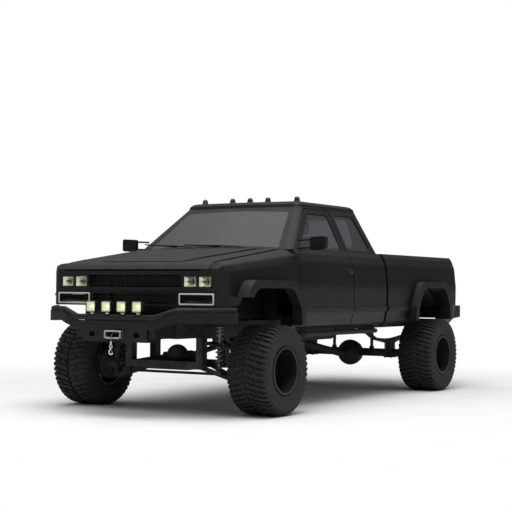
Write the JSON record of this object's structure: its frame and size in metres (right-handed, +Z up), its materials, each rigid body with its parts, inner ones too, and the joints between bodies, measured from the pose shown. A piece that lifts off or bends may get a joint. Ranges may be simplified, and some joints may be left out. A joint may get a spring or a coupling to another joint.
{
  "type": "pickup truck",
  "caption": "Lifted extended-cab pickup truck with winch bumper, wide mud tyres on deep-dish wheels, steering, doors, hood and tailgate",
  "frame": {"origin": "on the ground under the middle of the truck's overall length and width", "axes": "+X to the truck's left, +Y to its rear, +Z up; the truck faces -Y"},
  "size_m": [2.4178, 5.7642, 2.092],
  "materials": {
    "body_black": "flat black paint",
    "chassis_black": "satin black chassis paint",
    "bumper_black": "textured black powder coat",
    "cast_grey": "dirty cast iron",
    "trim_black": "grained black plastic",
    "cabin_cloth": "dark cloth",
    "dash_plastic": "dark grained plastic",
    "tinted_glass": "dark tinted glass",
    "lamp_lens": "pale yellow clear lens",
    "pod_lens": "clear work lamp lens",
    "amber_lens": "amber lens",
    "red_lens": "red lens",
    "winch_steel": "bare steel",
    "tyre_rubber": "black rubber",
    "rim_black": "gloss black",
    "exhaust_steel": "aged steel",
    "tank_plastic": "black plastic"
  },
  "bodies": {
    "chassis": {"chassis_frame": "chassis_black", "front_subframe": "chassis_black", "front_arms": "chassis_black", "shock_absorbers": "chassis_black", "front_axle_drive": "cast_grey", "rear_axle": "chassis_black", "leaf_springs": "chassis_black", "driveshafts": "chassis_black", "engine": "cast_grey", "radiator": "chassis_black", "fuel_tank": "tank_plastic", "exhaust": "exhaust_steel", "cab_shell": "body_black", "cab_glass": "tinted_glass", "roof_lamps": "amber_lens", "seats": "cabin_cloth", "dashboard": "dash_plastic", "front_fenders": "body_black", "front_face": "trim_black", "front_lamps": "lamp_lens", "front_bumper": "bumper_black", "light_pods": "pod_lens", "winch": "winch_steel", "cargo_bed": "body_black", "tail_lamps": "red_lens", "rear_bumper": "bumper_black", "wheel_flares": "trim_black", "side_bars": "bumper_black"},
    "hood": {"hood": "body_black"},
    "tailgate": {"tailgate": "body_black"},
    "door_left": {"door_left": "body_black", "door_glass_left": "tinted_glass"},
    "door_right": {"door_right": "body_black", "door_glass_right": "tinted_glass"},
    "knuckle_left": {"knuckle_left": "cast_grey"},
    "knuckle_right": {"knuckle_right": "cast_grey"},
    "tie_rod": {"tie_rod": "chassis_black"},
    "wheel_front_left": {"tyre_front_left": "tyre_rubber", "rim_front_left": "rim_black"},
    "wheel_front_right": {"tyre_front_right": "tyre_rubber", "rim_front_right": "rim_black"},
    "wheel_rear_left": {"tyre_rear_left": "tyre_rubber", "rim_rear_left": "rim_black"},
    "wheel_rear_right": {"tyre_rear_right": "tyre_rubber", "rim_rear_right": "rim_black"}
  },
  "joints": [
    {"name": "hood_hinge", "type": "hinge", "parent": "chassis", "child": "hood", "pos_m": [0, -1.40785, 1.526], "axis": [-1, 0, 0], "range_deg": [0, 50]},
    {"name": "tailgate_hinge", "type": "hinge", "parent": "chassis", "child": "tailgate", "pos_m": [0, 2.52215, 0.99], "axis": [-1, 0, 0], "range_deg": [0, 90]},
    {"name": "door_left_hinge", "type": "hinge", "parent": "chassis", "child": "door_left", "pos_m": [1.024, -1.28685, 1.2], "axis": [0, 0, -1], "range_deg": [0, 65]},
    {"name": "door_right_hinge", "type": "hinge", "parent": "chassis", "child": "door_right", "pos_m": [-1.024, -1.28685, 1.2], "axis": [0, 0, 1], "range_deg": [0, 65]},
    {"name": "steer_left", "type": "hinge", "parent": "chassis", "child": "knuckle_left", "pos_m": [0.722, -1.84785, 0.41], "axis": [0, 0, 1], "range_deg": [-30, 30]},
    {"name": "steer_right", "type": "hinge", "parent": "chassis", "child": "knuckle_right", "pos_m": [-0.722, -1.84785, 0.41], "axis": [0, 0, 1], "range_deg": [-30, 30]},
    {"name": "tie_rod_slide", "type": "slide", "parent": "chassis", "child": "tie_rod", "axis": [1, 0, 0], "range_m": [-0.085, 0.085]},
    {"name": "wheel_front_left_spin", "type": "hinge", "parent": "knuckle_left", "child": "wheel_front_left", "pos_m": [1, -1.84785, 0.41], "axis": [1, 0, 0], "continuous": true},
    {"name": "wheel_front_right_spin", "type": "hinge", "parent": "knuckle_right", "child": "wheel_front_right", "pos_m": [-1, -1.84785, 0.41], "axis": [1, 0, 0], "continuous": true},
    {"name": "wheel_rear_left_spin", "type": "hinge", "parent": "chassis", "child": "wheel_rear_left", "pos_m": [1, 1.74615, 0.41], "axis": [1, 0, 0], "continuous": true},
    {"name": "wheel_rear_right_spin", "type": "hinge", "parent": "chassis", "child": "wheel_rear_right", "pos_m": [-1, 1.74615, 0.41], "axis": [1, 0, 0], "continuous": true}
  ],
  "couplings": [
    {"joint": "steer_right", "follows": "steer_left", "ratio": 1},
    {"joint": "tie_rod_slide", "follows": "steer_left", "m_per_rad": -0.16234}
  ]
}
